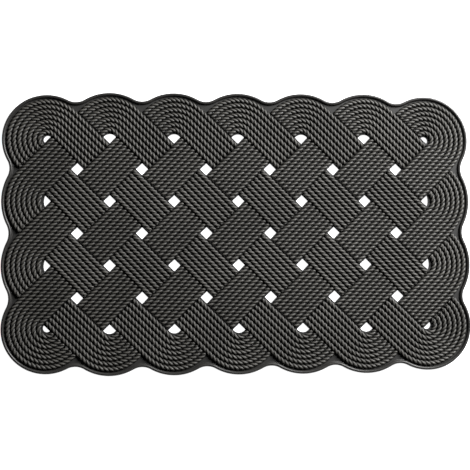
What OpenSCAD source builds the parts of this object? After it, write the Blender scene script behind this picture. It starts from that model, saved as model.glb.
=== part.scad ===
// Rectangular door mat moulded in rubber as one closed rope weave.
// Seven-rope bands run at 45 degrees, pass over and under each other and turn back in scalloped
// loops along the edges. Each visible pass of the weave is a ridged solid on a thin base sheet.
// Origin: centre of the footprint, on the floor. +X runs along the length, +Z is up.

/* [Mat] */
// Overall length along X
mat_length = 750; // [720:5:780]
// Overall depth along Y
mat_depth = 450; // [435:5:465]
// Overall thickness, from the floor to the crown of the ropes
mat_height = 9.5; // [8.5:0.5:12]

/* [Weave] */
// Distance between the centre lines of two neighbouring ropes
rope_pitch = 8; // [7.6:0.1:8]
// Diameter of one rope
rope_d = 8.3; // [8.1:0.1:8.4]
// Gap that keeps one pass clear of the next
seam = 0.15; // [0.05:0.05:0.4]
// Shift of a side loop's centre towards the middle of the mat
side_loop_shift = 10.5; // [2:0.5:10.5]
// Shift of a corner loop's centre towards the middle of the mat
corner_loop_shift = 5.6; // [2:0.2:7]

/* [Base sheet] */
// Thickness of the sheet that joins the ropes
sheet_t = 3; // [2:0.5:4]
// Width of bare sheet between a rope and the edge of a drain hole
hole_ledge = 1.3; // [0.6:0.1:1.6]
// Radius of the arc that closes a hole of the front or back
end_hole_r = 12; // [11:0.5:15]
// Reach of that arc past the centre of the hole's square
end_hole_cap = 5.2; // [4:0.1:5.5]
// Radius of the arc that closes a hole of the left or right
side_hole_r = 24; // [18:1:30]
// Reach of that arc past the centre of the hole's square
side_hole_cap = 1; // [0:0.2:2]
// Radius of a corner's half-moon hole
corner_hole_r = 6.3; // [5:0.1:7]
// Shift of its centre towards the middle of the mat
corner_hole_shift = 6.4; // [5.6:0.2:7]

/* [Rim] */
// Width of the bead round the outline
bead_w = 5.6; // [4:0.2:5.6]
// Height of the bead's crown above the floor
bead_top = 8.2; // [7:0.2:8.4]
// Chamfer on both edges of the bead's crown
bead_chamfer = 1.4; // [0.8:0.2:1.8]
// Reach of the left and right scallops beyond their row of holes
side_reach = 68; // [67:0.5:69]
// Inward shift of the scallops' centres along the front and back
end_arc_in = 5.5; // [4:0.5:8]
// Inward shift of the scallops' centres along the left and right
side_arc_in = 18; // [16:0.5:20]
// Inward shift of a corner scallop's centre along the diagonal
corner_arc_in = 5; // [4:0.5:6]
// Radius of a corner scallop
corner_r = 71; // [70:0.5:72]
// Radius of the hollow between two scallops of the front or back
end_hollow_r = 27; // [24:1:30]
// Radius of the hollow between two scallops of the left or right
side_hollow_r = 31; // [28:1:34]

/* [Grip studs] */
// Diameter of a stud
stud_d = 16; // [10:1:20]
// Height of a stud
stud_h = 1.5; // [1:0.25:2]

/* [Hidden] */
$fn = 96;
ropes = 7;
cols = 12;  // lattice steps between the corner holes along X
rows = 6;  // lattice steps between the corner holes along Y
step = (mat_length - 2 * side_reach) / cols;  // from a drain hole to the nearest crossing
end_reach = (mat_depth - rows * step) / 2;
sheet_top = stud_h + sheet_t;
rope_rise = mat_height - rope_d / 2 - sheet_top;  // rope centre lines above the sheet
band_half = ((ropes - 1) * rope_pitch + rope_d) / 2;
web_half = ropes / 2 * rope_pitch - 1;
band_off = step / sqrt(2);  // from a drain hole to the centre line of the bands beside it
crossing_gap = step * sqrt(2);  // from one crossing to the next along a band
leg_near = band_off - band_half;  // where a loop's short leg dives under the next band
leg_far = band_off + crossing_gap - band_half;  // where its long leg dives under
pass_half = crossing_gap - band_half;  // half the length of a pass inside the mat
hole_half = leg_near - hole_ledge;  // half the side of a square drain hole
bead_h = bead_top - stud_h;
rim_gap = 0.05;  // clearance between the sheet's edge and the bead
arc_bite = 0.02;  // overlap that lets two tangent arcs cross cleanly
black = "#33312e";
black_sheet = "#282725";
black_rim = "#3b3936";

// Headings of the loops' long legs on the four sides
back = -45;
left = 45;
front = 135;
right = 225;
side_slide = min(side_loop_shift / sqrt(2), leg_near - seam - 0.3);

// Border loops, clockwise from the back left: name, column, row, heading, turn, slide of its centre.
LOOPS = concat(
    [["corner_loop_back_left", 0, 0, back, 180, corner_loop_shift]],
    [for (i = [1:5]) [str("edge_loop_back_", i), 2 * i, 0, back, 90, 0]],
    [["corner_loop_back_right", cols, 0, right, 180, corner_loop_shift]],
    [for (i = [1:2]) [str("side_loop_right_", i), cols, 2 * i, right, 90, side_slide]],
    [["corner_loop_front_right", cols, rows, front, 180, corner_loop_shift]],
    [for (i = [1:5]) [str("edge_loop_front_", i), cols - 2 * i, rows, front, 90, 0]],
    [["corner_loop_front_left", 0, rows, left, 180, corner_loop_shift]],
    [for (i = [1:2]) [str("side_loop_left_", i), 0, rows - 2 * i, left, 90, side_slide]]
);
// Passes inside the mat: name, column, row, heading.
PASSES = [
    for (r = [1:rows - 1]) for (c = [1 + r % 2:2:cols - 1])
        [str("pass_row", r, "_col", c), c, r, r % 2 == 0 ? back : left]
];

function lattice(col, row) = [(col - cols / 2) * step, (rows / 2 - row) * step];
function along(angle) = [cos(angle), sin(angle)];

// Scallop of the outline behind each loop: centre and radius.
function is_corner(loop) = loop[4] == 180;
function is_side(loop) = !is_corner(loop) && (loop[3] == left || loop[3] == right);
function scallop(loop) =
    let (hole = lattice(loop[1], loop[2]), inward = along(loop[3] - 45))
    is_corner(loop) ? [hole + corner_arc_in * along(loop[3]), corner_r]
    : is_side(loop) ? [hole + side_arc_in * inward, side_reach + side_arc_in]
    : [hole + end_arc_in * inward, end_reach + end_arc_in];
SCALLOPS = [for (loop = LOOPS) scallop(loop)];
count = len(SCALLOPS);
function next(i) = (i + 1) % count;

// Hollow between scallop i and the next one: centre and radius of the arc that touches both.
function hollow_r(i) = is_side(LOOPS[i]) && is_side(LOOPS[next(i)]) ? side_hollow_r : end_hollow_r;
function hollow(i) =
    let (
        a = SCALLOPS[i],
        b = SCALLOPS[next(i)],
        r = hollow_r(i),
        gap = norm(b[0] - a[0]),
        ahead = (b[0] - a[0]) / gap,
        outward = [-ahead.y, ahead.x],
        reach = (gap ^ 2 + (a[1] + r) ^ 2 - (b[1] + r) ^ 2) / (2 * gap)
    )
    [a[0] + reach * ahead + sqrt((a[1] + r) ^ 2 - reach ^ 2) * outward, r];
HOLLOWS = [for (i = [0:count - 1]) hollow(i)];

// Plate with the mat's outline, from z = low to high. Its edge is drawn in by inset + slope * z.
module plate(inset, low, high, slope = 0) {
    difference() {
        union() {
            translate([0, 0, low]) linear_extrude(high - low)
                polygon([for (i = [0:count - 1]) each [SCALLOPS[i][0], HOLLOWS[i][0]]]);
            for (s = SCALLOPS) translate([each s[0], low])
                cylinder(r1 = s[1] - inset - slope * low, r2 = s[1] - inset - slope * high, h = high - low);
        }
        for (h = HOLLOWS) translate([each h[0], low - 1]) {
            r = h[1] + inset + arc_bite;
            cylinder(r1 = r + slope * (low - 1), r2 = r + slope * (high + 1), h = high - low + 2);
        }
    }
}

module inner_hole(depth) {
    rotate(45) cube([2 * hole_half, 2 * hole_half, depth], center = true);
}

// Hole behind an edge loop: a square cut off by an arc on the side of the rim.
module edge_hole(r, cap, depth) {
    intersection() {
        cube([2 * hole_half, 2 * hole_half, depth], center = true);
        rotate(45) translate([0, cap - r, 0]) cylinder(r = r, h = 2 * depth, center = true);
    }
}

// Hole behind a corner loop: a half-moon.
module corner_hole(depth) {
    translate([corner_hole_shift, 0, 0]) intersection() {
        cylinder(r = corner_hole_r, h = depth, center = true);
        translate([-leg_near, -leg_near, -depth]) cube([leg_near, 2 * leg_near, 2 * depth]);
    }
}

module holes(depth) {
    for (r = [1:rows - 1]) for (c = [2 - r % 2:2:cols - 1])
        translate(lattice(c, r)) inner_hole(depth);
    for (loop = LOOPS)
        translate(lattice(loop[1], loop[2])) rotate(loop[3])
            if (is_corner(loop)) corner_hole(depth);
            else if (is_side(loop)) edge_hole(side_hole_r, side_hole_cap, depth);
            else edge_hole(end_hole_r, end_hole_cap, depth);
}

// Cross-section of a band: seven rope backs side by side on a web.
module band_section() {
    difference() {
        union() {
            translate([-web_half, -rope_d]) square([2 * web_half, rope_d + rope_rise]);
            for (k = [0:ropes - 1])
                translate([(k - (ropes - 1) / 2) * rope_pitch, rope_rise]) circle(d = rope_d);
        }
        translate([-2 * band_half, -2 * rope_d]) square([4 * band_half, 2 * rope_d]);
    }
}

// Straight stretch of a band, along +X from the origin.
module straight(length) {
    rotate([90, 0, 90]) linear_extrude(length) band_section();
}

module loop_pass(loop) {
    sweep = loop[4];
    slide = loop[5];
    drop = is_corner(loop) ? 0 : slide;
    radius = band_off + drop;
    short_leg = leg_near - seam - slide;
    color(black) translate([each lattice(loop[1], loop[2]), sheet_top]) rotate(loop[3])
        translate([slide, -drop, 0]) {
            rotate(90) rotate_extrude(angle = sweep) translate([radius, 0]) band_section();
            translate([0, radius, 0]) straight(leg_far - seam - slide);
            rotate(sweep) translate([-short_leg, radius, 0]) straight(short_leg);
        }
}

module inner_pass(pass) {
    length = 2 * (pass_half - seam);
    color(black) translate([each lattice(pass[1], pass[2]), sheet_top]) rotate(pass[3])
        translate([-length / 2, 0, 0]) straight(length);
}

module base_sheet() {
    color(black_sheet) translate([0, 0, stud_h]) difference() {
        plate(bead_w + rim_gap, 0, sheet_t);
        holes(4 * sheet_t);
    }
}

// Ring along the outline, bead_w wide at z = low. Both edges draw in by slope * height.
module ring(low, high, slope) {
    difference() {
        plate(-slope * low, low, high, slope);
        plate(bead_w + slope * low, low - 1, high + 1, -slope);
    }
}

module rim_bead() {
    flank = bead_h - bead_chamfer;
    color(black_rim) translate([0, 0, stud_h]) {
        ring(0, flank, 0);
        ring(flank, bead_h, 1);
    }
}

// A stud under every crossing of the weave.
module grip_studs() {
    color(black_sheet) for (r = [0:rows]) for (c = [(r + 1) % 2:2:cols])
        translate([each lattice(c, r), 0]) cylinder(d = stud_d, h = stud_h);
}

base_sheet();
rim_bead();
grip_studs();
for (loop = LOOPS) loop_pass(loop);
for (pass = PASSES) inner_pass(pass);
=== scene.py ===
"""Door mat moulded in black rubber as a closed weave of seven-rope bands.

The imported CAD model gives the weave's lattice and levels. Every visible pass of the weave becomes one
closed mesh of seven twisted three-strand ropes, laid on a sheet with a beaded rim and grip studs.
Lengths are in millimetres until a mesh is made.
"""
import math

import bpy
import numpy as np
from mathutils import Matrix, Vector
from mathutils.geometry import delaunay_2d_cdt


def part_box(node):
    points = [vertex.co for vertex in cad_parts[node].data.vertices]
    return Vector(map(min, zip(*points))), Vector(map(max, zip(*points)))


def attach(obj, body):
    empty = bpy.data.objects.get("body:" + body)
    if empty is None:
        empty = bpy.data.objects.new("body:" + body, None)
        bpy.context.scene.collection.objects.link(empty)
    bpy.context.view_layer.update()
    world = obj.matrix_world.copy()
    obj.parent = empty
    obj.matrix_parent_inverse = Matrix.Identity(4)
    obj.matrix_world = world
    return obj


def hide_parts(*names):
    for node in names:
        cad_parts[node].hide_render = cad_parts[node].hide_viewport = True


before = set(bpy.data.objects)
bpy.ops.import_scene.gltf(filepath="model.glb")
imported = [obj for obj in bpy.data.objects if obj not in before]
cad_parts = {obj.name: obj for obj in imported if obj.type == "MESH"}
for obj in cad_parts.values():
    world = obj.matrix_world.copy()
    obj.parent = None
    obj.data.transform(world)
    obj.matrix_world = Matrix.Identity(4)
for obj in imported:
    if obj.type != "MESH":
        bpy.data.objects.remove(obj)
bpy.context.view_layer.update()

MM = 0.001


# ---------------------------------------------------------------- sizes from the frame
def node_box(name):
    """Lowest and highest corner of a CAD node, in millimetres."""
    low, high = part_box(name)
    return np.array(low) / MM, np.array(high) / MM


def node_centre(name):
    low, high = node_box(name)
    return (low + high) / 2


COLS, ROWS = 12, 6  # lattice steps between the corner holes
STEP = (node_centre("pass_row2_col3") - node_centre("pass_row2_col1"))[0] / 2
MAT_LOW, MAT_HIGH = node_box("rim_bead")
SHEET_LOW, SHEET_HIGH = node_box("base_sheet")
SHEET_BOTTOM, SHEET_TOP = SHEET_LOW[2], SHEET_HIGH[2]
CROWN = node_box("pass_row2_col1")[1][2]
BEAD_TOP = MAT_HIGH[2]
SIDE_REACH = MAT_HIGH[0] - COLS / 2 * STEP
END_REACH = MAT_HIGH[1] - ROWS / 2 * STEP

# ---------------------------------------------------------------- the weave
ROPES = 7
PITCH = 8.0  # between rope centre lines
ROPE_R = 4.15
STRAND_OFFSET = 2.15  # strand centres from the rope's centre line
STRAND_WIDE = 2.3  # half the strand's width round the rope
STRAND_THICK = ROPE_R - STRAND_OFFSET
LAY = 22.5  # length of one full twist
BAND_HALF = (ROPES - 1) / 2 * PITCH + ROPE_R
BAND_OFF = STEP / math.sqrt(2)
CROSSING_GAP = STEP * math.sqrt(2)
LEG_NEAR = BAND_OFF - BAND_HALF
LEG_FAR = BAND_OFF + CROSSING_GAP - BAND_HALF
PASS_HALF = CROSSING_GAP - BAND_HALF
SEAM = 0.1  # left free at each end of a pass
# how far the centre of each kind of loop's turn lies in from the lattice point, along its long leg
END_SLIDE = 0.0
SIDE_SLIDE = 10.5 / math.sqrt(2)
CORNER_SLIDE = 5.6
HOLE_LEDGE = 1.3  # width of bare sheet between a hole and the bands round it
HOLE_HALF = LEG_NEAR - HOLE_LEDGE
END_HOLE_R, END_HOLE_CAP = 12.0, 5.2  # arc that closes an edge hole, and its reach past the lattice point
SIDE_HOLE_R, SIDE_HOLE_CAP = 24.0, 1.0
CORNER_HOLE_R, CORNER_HOLE_SHIFT = 6.3, 6.4  # a half circle, and its centre from the lattice point
BACK, LEFT, FRONT, RIGHT = -45, 45, 135, 225  # headings of the loops' long legs


def lattice(col, row):
    """A crossing or hole of the weave, counted from the back left corner hole."""
    return np.array([(col - COLS / 2) * STEP, (ROWS / 2 - row) * STEP])


def along(angle):
    """Unit vector at an angle in radians."""
    return np.array([math.cos(angle), math.sin(angle)])


def loops():
    """Border loops, clockwise from the back left: name, column, row, heading, turn, slide. Degrees."""
    yield "corner_loop_back_left", 0, 0, BACK, 180, CORNER_SLIDE
    for i in range(1, 6):
        yield f"edge_loop_back_{i}", 2 * i, 0, BACK, 90, END_SLIDE
    yield "corner_loop_back_right", COLS, 0, RIGHT, 180, CORNER_SLIDE
    for i in (1, 2):
        yield f"side_loop_right_{i}", COLS, 2 * i, RIGHT, 90, SIDE_SLIDE
    yield "corner_loop_front_right", COLS, ROWS, FRONT, 180, CORNER_SLIDE
    for i in range(1, 6):
        yield f"edge_loop_front_{i}", COLS - 2 * i, ROWS, FRONT, 90, END_SLIDE
    yield "corner_loop_front_left", 0, ROWS, LEFT, 180, CORNER_SLIDE
    for i in (1, 2):
        yield f"side_loop_left_{i}", 0, ROWS - 2 * i, LEFT, 90, SIDE_SLIDE


def inner_passes():
    """Passes inside the mat: name, column, row, heading, lay (1 right-handed, -1 left-handed)."""
    for row in range(1, ROWS):
        for col in range(1 + row % 2, COLS, 2):
            falling = row % 2 == 0
            yield f"pass_row{row}_col{col}", col, row, BACK if falling else LEFT, -1 if falling else 1


# ---------------------------------------------------------------- rope bands
RING_GAP = 0.9  # between the rings of a band
NOSE = 3.2  # length over which a rope's end rounds down
NOSE_GRIP = 0.6  # share of its size that a rope keeps at its very end
NOSE_STEPS = 8
NOSE_SINK = 0.4  # how far a rope's centre line sinks as it shrinks, as a share of the radius it loses
VALLEY_SINK = 1.5  # how far the valley sinks there, as a share of what the centre line does
SIDE_TURN = 24  # how far the outer ropes' sides reach below their centre lines, in degrees
VALLEY_SIDE = 6  # where a rope's back meets a valley, in degrees above its centre line
ROUND_STEPS = 13  # points over a rope's back
SUNK = 0.3  # how deep a band's flat underside sits in the sheet
FLANK = 3.62  # from a rope's centre line to the foot of its side
VALLEY_DROP = 0.8  # how far the valley between two ropes lies below their centre lines
ROPE_Z = CROWN - ROPE_R
SWELL_POWER, HIGH_POWER = 0.6, 1.5  # how the painted shade in the grooves eases off with a point's swelling and its height


def ring_marks(start, end, from_nose, to_nose):
    """Distances of the rings along a leg, denser where an end rounds down."""
    marks = np.linspace(start, end, max(2, round((end - start) / RING_GAP) + 1))
    nose = NOSE * (1 - np.sqrt(1 - (1 - np.linspace(0, 1, NOSE_STEPS)) ** 2))
    if from_nose:
        marks = np.concatenate([start + nose[::-1], marks[marks > start + NOSE * 1.05]])
    if to_nose:
        marks = np.concatenate([marks[marks < end - NOSE * 1.05], end - nose])
    return marks


def straight_band(length):
    """Rings of a straight band along X: base points, outward directions, distances to the ends."""
    x = ring_marks(-length / 2, length / 2, True, True)
    base = np.stack([x, np.zeros_like(x)], 1)
    across = np.tile([0.0, 1.0], (len(x), 1))
    return base, across, length / 2 - np.abs(x)


def loop_band(turn, slide):
    """Rings of a loop round the origin, from its short leg to the end of its long leg."""
    drop = slide if turn == 90 else 0.0
    radius = BAND_OFF + drop
    centre = np.array([slide, -drop])
    short_leg = LEG_NEAR - SEAM - slide
    long_leg = LEG_FAR - SEAM - slide
    back = ring_marks(-short_leg, 0, True, False)
    turn_rings = round(math.radians(turn) * (radius + BAND_HALF) / RING_GAP)
    swing = np.radians(np.linspace(90 + turn, 90, turn_rings)[1:-1])
    ahead = ring_marks(0, long_leg, False, True)
    out = along(math.radians(90 + turn))
    heading = np.array([out[1], -out[0]])
    base = np.concatenate([
        centre + radius * out + back[:, None] * heading,
        centre + radius * np.stack([np.cos(swing), np.sin(swing)], 1),
        centre + [0, radius] + ahead[:, None] * [1, 0],
    ])
    across = np.concatenate([
        np.tile(out, (len(back), 1)),
        np.stack([np.cos(swing), np.sin(swing)], 1),
        np.tile([0.0, 1.0], (len(ahead), 1)),
    ])
    middle = np.linalg.norm(np.diff(base, axis=0), axis=1)
    travelled = np.concatenate([[0], np.cumsum(middle)])
    to_end = np.minimum(travelled, travelled[-1] - travelled)
    return base, across, to_end


def rope_radius(angle):
    """Radius of a three-strand rope at an angle from the middle of its first strand, in radians."""
    third = 2 * math.pi / 3
    a = (angle + third / 2) % third - third / 2
    c, s = np.cos(a) / STRAND_THICK, np.sin(a) / STRAND_WIDE
    off = STRAND_OFFSET / STRAND_THICK
    k = c * c + s * s
    return (c * off + np.sqrt(np.maximum((c * off) ** 2 - k * (off ** 2 - 1), 0))) / k


GROOVE_R = float(rope_radius(np.array([math.pi / 3]))[0])


def band_mesh(name, base, across, to_end, lay, heading, place):
    """One closed mesh of seven twisted ropes over the given rings."""
    rings = len(base)
    centre_line = (np.arange(ROPES) - (ROPES - 1) / 2) * PITCH
    lines = base[:, None, :] + across[:, None, :] * centre_line[None, :, None]
    steps = np.linalg.norm(np.diff(lines, axis=0), axis=2)
    travelled = np.concatenate([np.zeros((1, ROPES)), np.cumsum(steps, axis=0)])
    travelled -= travelled[-1]  # every rope is in step at the end of the long leg
    phase = lay * 2 * math.pi * travelled / LAY
    near_end = np.clip(1 - to_end / NOSE, 0, 1)
    swell = NOSE_GRIP + (1 - NOSE_GRIP) * np.sqrt(np.maximum(1 - near_end ** 2, 0))
    sink = (1 - swell) * ROPE_R * NOSE_SINK
    floor_z = SHEET_TOP - SUNK
    valley_z = ROPE_Z - VALLEY_DROP
    columns = []
    unshaded_columns = []

    def add(y, z, swelling):
        z = np.maximum(z, floor_z)
        columns.append(np.stack([base[:, 0] + across[:, 0] * y, base[:, 1] + across[:, 1] * y, z], 1))
        # share of the rubber colour a point keeps; the rest is painted shade, deepest in the grooves and
        # low down
        high = np.clip((z - valley_z) / (CROWN - valley_z), 0, 1)
        unshaded_columns.append(np.maximum(swelling, 0) ** SWELL_POWER * high ** HIGH_POWER)

    for k in range(ROPES):
        first, last = k == 0, k == ROPES - 1
        left_turn = 180 + (SIDE_TURN if first else -VALLEY_SIDE)
        right_turn = -SIDE_TURN if last else VALLEY_SIDE
        for degrees in np.linspace(left_turn, right_turn, ROUND_STEPS + 2 * (first or last)):
            t = math.radians(degrees)
            bare = rope_radius(t - phase[:, k])
            swelling = (bare - GROOVE_R) / (ROPE_R - GROOVE_R)
            r = bare * swell
            y = r * math.cos(t)
            if not first:
                y = np.maximum(y, -FLANK)
            if not last:
                y = np.minimum(y, FLANK)
            add(centre_line[k] + y, ROPE_Z - sink + r * math.sin(t), swelling)
        if not last:
            valley = np.full(rings, centre_line[k] + PITCH / 2)
            # the valleys between ropes get full painted shade
            add(valley, valley_z - VALLEY_SINK * sink, np.zeros(rings))
    grid = np.stack(columns, 1)
    left, right = grid[:, 0].copy(), grid[:, -1].copy()
    left[:, 2] = right[:, 2] = floor_z
    grid = np.concatenate([left[:, None], grid, right[:, None]], 1)
    # the band's feet get full painted shade too
    foot = np.zeros((rings, 1))
    unshaded_share = np.concatenate([foot, np.stack(unshaded_columns, 1), foot], 1).ravel()
    obj = grid_object(name, grid.reshape(-1, 3), rings, grid.shape[1], heading, place)
    # this attribute drives painted shade: 0 darkens a point to the groove colour, 1 keeps the rubber colour
    obj.data.attributes.new("unshaded_share", "FLOAT", "POINT").data.foreach_set("value", unshaded_share)
    return obj


def grid_object(name, points, rings, width, heading, place):
    """Closed mesh from rings of points: skin, flat underside and two end caps."""
    turned = points.copy()
    c, s = along(math.radians(heading))
    turned[:, 0] = c * points[:, 0] - s * points[:, 1] + place[0]
    turned[:, 1] = s * points[:, 0] + c * points[:, 1] + place[1]
    index = np.arange(rings * width).reshape(rings, width)
    wrapped = np.concatenate([index, index[:, :1]], 1)
    quads = np.stack([wrapped[:-1, :-1], wrapped[1:, :-1], wrapped[1:, 1:], wrapped[:-1, 1:]], 2)
    faces = quads.reshape(-1, 4).tolist()
    faces.append(index[0].tolist())
    faces.append(index[-1][::-1].tolist())
    return mesh_object(name, turned, faces)


def mesh_object(name, points, faces, smooth=True):
    """An object from points in millimetres."""
    mesh = bpy.data.meshes.new(name)
    mesh.from_pydata((np.asarray(points) * MM).tolist(), [], faces)
    mesh.validate()
    mesh.update()
    if smooth:
        mesh.polygons.foreach_set("use_smooth", [True] * len(mesh.polygons))
    obj = bpy.data.objects.new(name, mesh)
    bpy.context.scene.collection.objects.link(obj)
    return obj


# ---------------------------------------------------------------- outline, rim and sheet
# how far the centre of each kind of scallop lies inside its hole's lattice point
END_ARC_IN = 5.5
SIDE_ARC_IN = 18.0
CORNER_ARC_IN = 5.0
CORNER_R = 71.0
END_HOLLOW_R = 27.0  # the hollows between scallops
SIDE_HOLLOW_R = 31.0  # where both loops head across the short edges
ARC_GAP = 1.6  # between the outline's stations
BEAD_W = 5.6
BEAD_FOOT = 0.5  # how high the bead's broken bottom edge reaches
CROWN_STEPS = 13
COVE_R = 0.9  # the hollow between the bead and the sheet
COVE_STEPS = 5
SHEET_TUCK = 0.4  # how far the sheet's edge runs in under the bead
SHEET_BEVEL = 0.3
SHEET_DRAFT = 0.25  # how far the sheet's edges lean back towards the bottom
HOLE_ROUND = 0.9  # corner radius of a drain hole
HOLE_ARC_STEPS = 14
CORNER_HOLE_FROM, CORNER_HOLE_TO, CORNER_HOLE_STEPS = 92, 268, 17


def scallop(loop):
    """Centre and radius of the outline's arc behind a loop."""
    _, col, row, heading, turn, _ = loop
    hole = lattice(col, row)
    if turn == 180:
        return hole + CORNER_ARC_IN * along(math.radians(heading)), CORNER_R
    inward = along(math.radians(heading - 45))
    if heading in (LEFT, RIGHT):
        return hole + SIDE_ARC_IN * inward, SIDE_REACH + SIDE_ARC_IN
    return hole + END_ARC_IN * inward, END_REACH + END_ARC_IN


def hollow(a, b, radius):
    """Centre of the arc that touches scallops a and b from outside."""
    gap = np.linalg.norm(b[0] - a[0])
    ahead = (b[0] - a[0]) / gap
    outward = np.array([-ahead[1], ahead[0]])
    reach = (gap ** 2 + (a[1] + radius) ** 2 - (b[1] + radius) ** 2) / (2 * gap)
    return a[0] + reach * ahead + math.sqrt((a[1] + radius) ** 2 - reach ** 2) * outward


def arc(centre, radius, from_point, to_point, clockwise):
    """Points and outward directions along an arc, without its last point."""
    start = math.atan2(*(from_point - centre)[::-1])
    end = math.atan2(*(to_point - centre)[::-1])
    sweep = (start - end if clockwise else end - start) % (2 * math.pi)
    count = max(4, round(sweep * radius / ARC_GAP))
    angles = start + (-1 if clockwise else 1) * np.linspace(0, sweep, count, endpoint=False)
    spokes = np.stack([np.cos(angles), np.sin(angles)], 1)
    return centre + radius * spokes, spokes if clockwise else -spokes


def outline():
    """Stations clockwise round the mat: points on the edge and outward directions."""
    border = list(loops())
    scallops = [scallop(loop) for loop in border]
    count = len(border)
    sideways = [heading in (LEFT, RIGHT) for _, _, _, heading, _, _ in border]
    pairs = zip(sideways, sideways[1:] + sideways[:1])
    radii = [SIDE_HOLLOW_R if a and b else END_HOLLOW_R for a, b in pairs]
    hollows = [hollow(scallops[i], scallops[(i + 1) % count], radii[i]) for i in range(count)]
    points, outs = [], []
    for i in range(count):
        centre, radius = scallops[i]
        for part in (
            arc(centre, radius, hollows[i - 1], hollows[i], True),
            arc(hollows[i], radii[i], centre, scallops[(i + 1) % count][0], False),
        ):
            points.append(part[0])
            outs.append(part[1])
    return np.concatenate(points), np.concatenate(outs)


def bead_profile():
    """Closed section of the rim: distance inward from the edge and height, from the bottom edge up."""
    crown_r = BEAD_W / 2 - 0.3
    turn = np.radians(np.linspace(180, 0, CROWN_STEPS))
    crown_x = BEAD_W / 2 - 0.1 + crown_r * np.cos(turn)
    crown_z = BEAD_TOP - crown_r + crown_r * np.sin(turn)
    cove_turn = np.radians(np.linspace(180, 270, COVE_STEPS))
    cove_x = crown_x[-1] + 0.1 + COVE_R
    inner = cove_x + 0.3
    return np.concatenate([
        [[BEAD_FOOT, SHEET_BOTTOM], [0.15, SHEET_BOTTOM + 0.15], [0.0, SHEET_BOTTOM + BEAD_FOOT]],
        np.stack([crown_x, crown_z], 1),
        np.stack([cove_x + COVE_R * np.cos(cove_turn), SHEET_TOP + COVE_R + COVE_R * np.sin(cove_turn)], 1),
        [[inner, SHEET_TOP - 0.3], [inner, SHEET_BOTTOM]],
    ])


def rim(name):
    """The bead round the mat, one closed ring."""
    points, outs = outline()
    section = bead_profile()
    rings, width = len(points), len(section)
    spots = points[:, None, :] - outs[:, None, :] * section[None, :, :1]
    heights = np.tile(section[:, 1], (rings, 1))[:, :, None]
    body = np.concatenate([spots, heights], 2).reshape(-1, 3)
    index = np.arange(rings * width).reshape(rings, width)
    index = np.concatenate([index, index[:1]], 0)
    index = np.concatenate([index, index[:, :1]], 1)
    quads = np.stack([index[:-1, :-1], index[:-1, 1:], index[1:, 1:], index[1:, :-1]], 2)
    return mesh_object(name, body, quads.reshape(-1, 4).tolist())


def rounded(points, radius, steps=5):
    """A polygon with its corners rounded, counter-clockwise."""
    made = []
    for i, corner in enumerate(points):
        before = points[i - 1] - corner
        after = points[(i + 1) % len(points)] - corner
        before, after = before / np.linalg.norm(before), after / np.linalg.norm(after)
        half = math.acos(np.clip(before @ after, -1, 1)) / 2
        cut = radius / math.tan(half)
        middle = corner + (before + after) / np.linalg.norm(before + after) * radius / math.sin(half)
        a, b = corner + before * cut - middle, corner + after * cut - middle
        for t in np.linspace(0, 1, steps):
            v = a * (1 - t) + b * t
            made.append(middle + v / np.linalg.norm(v) * radius)
    return np.array(made)


def turned(points, heading, place):
    """Points in the plane, turned by a heading in degrees and moved to a place."""
    c, s = along(math.radians(heading))
    return points @ np.array([[c, s], [-s, c]]) + place


def drain_holes():
    """Outlines of all holes in the sheet, counter-clockwise."""
    h = HOLE_HALF
    square = rounded(np.array([[-h, -h], [h, -h], [h, h], [-h, h]]), HOLE_ROUND)
    for row in range(1, ROWS):
        for col in range(2 - row % 2, COLS, 2):
            yield turned(square, 45, lattice(col, row))
    for _, col, row, heading, turn, slide in loops():
        if turn == 90:
            side = heading in (LEFT, RIGHT)
            r, cap = (SIDE_HOLE_R, SIDE_HOLE_CAP) if side else (END_HOLE_R, END_HOLE_CAP)
            tip, shift = h * math.sqrt(2), r - cap
            # where the arc meets the square's sides, measured towards the middle of the mat
            b = tip + shift
            depth = (b - math.sqrt(b * b - 2 * (tip * tip + shift * shift - r * r))) / 2
            reach = math.asin((tip - depth) / r)
            bend = np.pi / 2 + np.linspace(reach, -reach, HOLE_ARC_STEPS)
            shape = np.stack([r * np.cos(bend), r * np.sin(bend) - shift], 1)
            shape = np.concatenate([[[0.6, 0.6 - tip], [0.0, -tip + 0.35], [-0.6, 0.6 - tip]], shape])[::-1]
            heading += 45
        else:
            angles = np.radians(np.linspace(CORNER_HOLE_FROM, CORNER_HOLE_TO, CORNER_HOLE_STEPS))
            shape = CORNER_HOLE_R * np.stack([np.cos(angles), np.sin(angles)], 1) + [CORNER_HOLE_SHIFT, 0]
        yield turned(shape, heading, lattice(col, row))


def normals_of(loop):
    """Unit normals of a closed polygon, to the right of its travel."""
    ahead = np.roll(loop, -1, 0) - np.roll(loop, 1, 0)
    ahead /= np.linalg.norm(ahead, axis=1)[:, None]
    return np.stack([ahead[:, 1], -ahead[:, 0]], 1)


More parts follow.
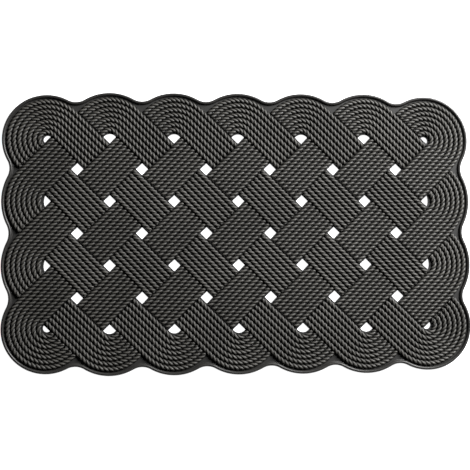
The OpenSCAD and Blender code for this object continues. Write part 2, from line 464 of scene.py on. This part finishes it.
def sheet(name):
    """The sheet under the ropes, with every hole cut and its edges broken."""
    points, outs = outline()
    edge = (points - outs * (BEAD_W - SHEET_TUCK))[::-1]
    bevel, draft = SHEET_BEVEL, SHEET_DRAFT
    rims = [(edge, normals_of(edge))]
    for hole in drain_holes():
        rims.append((hole[::-1], normals_of(hole[::-1])))
    levels = [
        (-bevel, SHEET_TOP), (-bevel * 0.3, SHEET_TOP - bevel * 0.3), (0, SHEET_TOP - bevel),
        (-draft, SHEET_BOTTOM + bevel), (-draft - bevel * 0.3, SHEET_BOTTOM + bevel * 0.3),
        (-draft - bevel, SHEET_BOTTOM),
    ]
    body, faces, tops, bottoms = [], [], [], []
    for loop, normal in rims:
        count = len(loop)
        starts = []
        for inset, z in levels:
            starts.append(len(body))
            flat = loop + normal * inset
            body.extend(np.column_stack([flat, np.full(count, z)]).tolist())
        for upper, lower in zip(starts, starts[1:]):
            for i in range(count):
                j = (i + 1) % count
                faces.append([upper + i, lower + i, lower + j, upper + j])
        tops.append([starts[0] + i for i in range(count)])
        bottoms.append([starts[-1] + i for i in range(count)])
    for rings_at, flip in ((tops, False), (bottoms, True)):
        ids = [i for ring in rings_at for i in ring]
        flat = [Vector(body[i][:2]) for i in ids]
        place = {i: n for n, i in enumerate(ids)}
        fences = [[place[i] for i in ring] for ring in rings_at]
        _, _, cut, spots, _, _ = delaunay_2d_cdt(flat, [], fences, 5, 1e-7)
        for face in cut:
            tri = [ids[spots[i][0]] for i in face]
            faces.append(tri[::-1] if flip else tri)
    obj = mesh_object(name, body, faces)
    for face in obj.data.polygons:
        face.use_smooth = abs(face.normal.z) < 0.999  # the level faces stay flat
    return obj


# ---------------------------------------------------------------- grip studs
STUD_R = 8.0
NUB_R = 2.0
NUB_RING = 14.0
NUBS = 8
STUD_STEPS, NUB_STEPS = 40, 16
STUD_ROOT = 0.2  # how deep a stud sits in the sheet


def lathe(profile, place, steps, body, faces):
    """Adds a closed turned shape. profile runs from its axis at the bottom to its axis at the top."""
    start = len(body)
    body.append([place[0], place[1], profile[0][1]])
    body.append([place[0], place[1], profile[-1][1]])
    rings = profile[1:-1]
    turn = np.linspace(0, 2 * math.pi, steps, endpoint=False)
    for r, z in rings:
        body.extend([[place[0] + r * math.cos(t), place[1] + r * math.sin(t), z] for t in turn])

    def ring(k, i):
        return start + 2 + k * steps + i % steps

    for i in range(steps):
        faces.append([start, ring(0, i + 1), ring(0, i)])
        for k in range(len(rings) - 1):
            faces.append([ring(k, i), ring(k, i + 1), ring(k + 1, i + 1), ring(k + 1, i)])
        faces.append([start + 1, ring(len(rings) - 1, i), ring(len(rings) - 1, i + 1)])


def studs(name):
    """A ringed stud under every crossing, with small nubs round it."""
    top = SHEET_BOTTOM + STUD_ROOT
    stud = [(0, 0.5), (3.2, 0.5), (3.8, 0.35), (4.1, 0.08), (4.5, 0), (STUD_R - 0.9, 0),
            (STUD_R - 0.5, 0.12), (STUD_R - 0.2, 0.5), (STUD_R, top), (0, top)]
    nub = [(0, 0.35), (0.9, 0.45), (1.5, 0.75), (1.85, 1.1), (NUB_R, top), (0, top)]
    body, faces = [], []
    for row in range(ROWS + 1):
        for col in range((row + 1) % 2, COLS + 1, 2):
            place = lattice(col, row)
            lathe(stud, place, STUD_STEPS, body, faces)
            for i in range(NUBS):
                spot = place + NUB_RING * along(2 * math.pi * (i + 0.5) / NUBS)
                lathe(nub, spot, NUB_STEPS, body, faces)
    return mesh_object(name, body, faces)


# ---------------------------------------------------------------- materials
RUBBER_SPECULAR, RUBBER_IOR = 0.4, 1.52
BROAD_SCALE, MOTTLE_SCALE, GLOSS_SCALE, DUST_SCALE, GRAIN_SCALE = 9, 160, 420, 900, 1500
GLOSS_SWING = 0.07  # how far the roughness wanders either way
DUST_GAIN = 3.2  # how much lighter dust is than the rubber
GRAIN_DEPTH = 0.0002
SHADE_FADE_FROM, SHADE_FADE_TO = 0.2, 1.0  # values of the shade attribute below which only the painted groove shade shows, and above which none
MIX_A, MIX_B = 6, 7  # a colour mix node's two colour inputs
MIX_RESULT = 2


def rubber(name, dark, light, roughness, grain, dust, groove_shade=None):
    """Moulded black rubber: mottled colour, uneven gloss, fine grain, a little dust, and, when a groove
    colour is given, painted shade darkening the grooves.
    """
    mat = bpy.data.materials.new(name)
    mat.use_nodes = True
    tree = mat.node_tree
    tree.nodes.clear()
    node = tree.nodes.new
    link = tree.links.new
    out = node("ShaderNodeOutputMaterial")
    shader = node("ShaderNodeBsdfPrincipled")
    link(shader.outputs["BSDF"], out.inputs["Surface"])
    shader.inputs["Specular IOR Level"].default_value = RUBBER_SPECULAR
    shader.inputs["IOR"].default_value = RUBBER_IOR
    where = node("ShaderNodeTexCoord")

    def noise(scale, detail, rough=0.5):
        n = node("ShaderNodeTexNoise")
        n.inputs["Scale"].default_value = scale
        n.inputs["Detail"].default_value = detail
        n.inputs["Roughness"].default_value = rough
        link(where.outputs["Object"], n.inputs["Vector"])
        return n.outputs["Fac"]

    def spread(value, low, high, to_low, to_high):
        r = node("ShaderNodeMapRange")
        r.inputs["From Min"].default_value = low
        r.inputs["From Max"].default_value = high
        r.inputs["To Min"].default_value = to_low
        r.inputs["To Max"].default_value = to_high
        link(value, r.inputs["Value"])
        return r.outputs["Result"]

    def mix(fac, a, b):
        m = node("ShaderNodeMix")
        m.data_type = "RGBA"
        link(fac, m.inputs["Factor"])
        for socket, colour in ((MIX_A, a), (MIX_B, b)):
            if isinstance(colour, tuple):
                m.inputs[socket].default_value = (*colour, 1)
            else:
                link(colour, m.inputs[socket])
        return m.outputs[MIX_RESULT]

    broad = spread(noise(BROAD_SCALE, 3), 0.35, 0.65, 0, 1)
    mottle = spread(noise(MOTTLE_SCALE, 4, 0.6), 0.3, 0.7, 0, 1)
    both = node("ShaderNodeMath")
    both.operation = "MULTIPLY_ADD"
    link(broad, both.inputs[0])
    both.inputs[1].default_value = 0.5
    half = node("ShaderNodeMath")
    half.operation = "MULTIPLY"
    link(mottle, half.inputs[0])
    half.inputs[1].default_value = 0.5
    link(half.outputs[0], both.inputs[2])
    colour = mix(both.outputs[0], dark, light)
    specks = spread(noise(DUST_SCALE, 2, 0.7), 0.66, 0.76, 0, dust)
    colour = mix(specks, colour, tuple(min(1, DUST_GAIN * c) for c in light))
    if groove_shade:
        # painted shade: the grooves and valleys fade to the near-black groove colour
        unshaded_share = node("ShaderNodeAttribute")
        unshaded_share.attribute_name = "unshaded_share"
        colour = mix(spread(unshaded_share.outputs["Fac"], SHADE_FADE_FROM, SHADE_FADE_TO, 0, 1), groove_shade, colour)
    link(colour, shader.inputs["Base Color"])
    gloss = spread(noise(GLOSS_SCALE, 3, 0.6), 0.3, 0.7, roughness - GLOSS_SWING, roughness + GLOSS_SWING)
    link(gloss, shader.inputs["Roughness"])
    bump = node("ShaderNodeBump")
    bump.inputs["Strength"].default_value = grain
    bump.inputs["Distance"].default_value = GRAIN_DEPTH
    link(noise(GRAIN_SCALE, 4, 0.65), bump.inputs["Height"])
    link(bump.outputs["Normal"], shader.inputs["Normal"])
    return mat


def finish_piece(obj, mat, slot, *nodes):
    """Gives a piece its material and its body, and hides the CAD nodes it stands for. The slot is not used.
    """
    obj.data.materials.append(mat)
    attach(obj, "root")
    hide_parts(*nodes)


# ---------------------------------------------------------------- the stage
FLOOR_HALF = 40000  # the floor reaches past the view at low angles
FLOOR_Z = -0.2
KEY_AT, KEY_SIZE, KEY_POWER = (1.35, 1.15, 1.2), (1.0, 1.0), 118
WORLD_STRENGTH = 0.015
CAMERA_AT, CAMERA_TARGET, CAMERA_ROLL = (-0.1002, -0.0874, 1.5014), (-0.0054, -0.0030, 0.0), -0.0065
CAMERA_LENS, CAMERA_SENSOR = 72, 36


def floor_material():
    mat = bpy.data.materials.new("pale_floor")
    mat.use_nodes = True
    shader = mat.node_tree.nodes["Principled BSDF"]
    shader.inputs["Base Color"].default_value = (0.95, 0.95, 0.95, 1)
    shader.inputs["Roughness"].default_value = 0.9
    shader.inputs["Emission Color"].default_value = (1, 1, 1, 1)
    shader.inputs["Emission Strength"].default_value = 1.0
    return mat


def stage():
    corners = [[x * FLOOR_HALF, y * FLOOR_HALF, FLOOR_Z] for x, y in ((-1, -1), (1, -1), (1, 1), (-1, 1))]
    floor = mesh_object("floor", corners, [[0, 1, 2, 3]], smooth=False)
    floor.data.materials.append(floor_material())


def aim(obj, at, target, roll=0.0):
    """Stands a lamp or a camera at a point, looking at a target, with +Y up in its view."""
    back = (Vector(at) - Vector(target)).normalized()
    side = Vector((0, 1, 0)).cross(back).normalized()
    up = back.cross(side)
    turn = Matrix((side, up, back)).transposed()
    obj.matrix_world = Matrix.Translation(at) @ (turn @ Matrix.Rotation(roll, 3, "Z")).to_4x4()


def area_light(name, at, size, power):
    data = bpy.data.lights.new(name, "AREA")
    data.shape = "RECTANGLE"
    data.size, data.size_y = size
    data.energy = power
    lamp = bpy.data.objects.new(name, data)
    bpy.context.scene.collection.objects.link(lamp)
    aim(lamp, at, (0, 0, 0))


def lights():
    area_light("key", KEY_AT, KEY_SIZE, KEY_POWER)
    world = bpy.data.worlds.new("studio")
    world.use_nodes = True
    world.node_tree.nodes["Background"].inputs["Color"].default_value = (1, 1, 1, 1)
    world.node_tree.nodes["Background"].inputs["Strength"].default_value = WORLD_STRENGTH
    bpy.context.scene.world = world


def camera():
    data = bpy.data.cameras.new("camera")
    data.lens = CAMERA_LENS
    data.sensor_width = CAMERA_SENSOR
    cam = bpy.data.objects.new("camera", data)
    bpy.context.scene.collection.objects.link(cam)
    aim(cam, CAMERA_AT, CAMERA_TARGET, CAMERA_ROLL)
    bpy.context.scene.camera = cam


# ---------------------------------------------------------------- build
# darker and lighter rubber colour, roughness, grain, dust, and the painted shade colour in a rope's grooves
rope_mat = rubber(
    "rope_rubber", (0.058, 0.0555, 0.049), (0.106, 0.101, 0.090), 0.5, 0.35, 0.35, (0.0004, 0.0004, 0.0004)
)
sheet_mat = rubber("sheet_rubber", (0.012, 0.012, 0.011), (0.022, 0.021, 0.020), 0.6, 0.5, 0.3)
rim_mat = rubber("rim_rubber", (0.022, 0.021, 0.020), (0.034, 0.033, 0.031), 0.4, 0.25, 0.2)
stud_mat = rubber("stud_rubber", (0.014, 0.014, 0.013), (0.024, 0.023, 0.022), 0.55, 0.5, 0.2)

for name, col, row, heading, turn, slide in loops():
    band = band_mesh(name + "_ropes", *loop_band(turn, slide), 1, heading, lattice(col, row))
    finish_piece(band, rope_mat, "rope_rubber", name)
for name, col, row, heading, lay in inner_passes():
    rings = straight_band(2 * (PASS_HALF - SEAM))
    band = band_mesh(name + "_ropes", *rings, lay, heading, lattice(col, row))
    finish_piece(band, rope_mat, "rope_rubber", name)
finish_piece(sheet("moulded_sheet"), sheet_mat, "sheet_rubber", "base_sheet")
finish_piece(rim("moulded_rim"), rim_mat, "rim_rubber", "rim_bead")
finish_piece(studs("moulded_studs"), stud_mat, "stud_rubber", "grip_studs")

stage()
lights()
camera()
bpy.context.scene.view_settings.view_transform = "Standard"
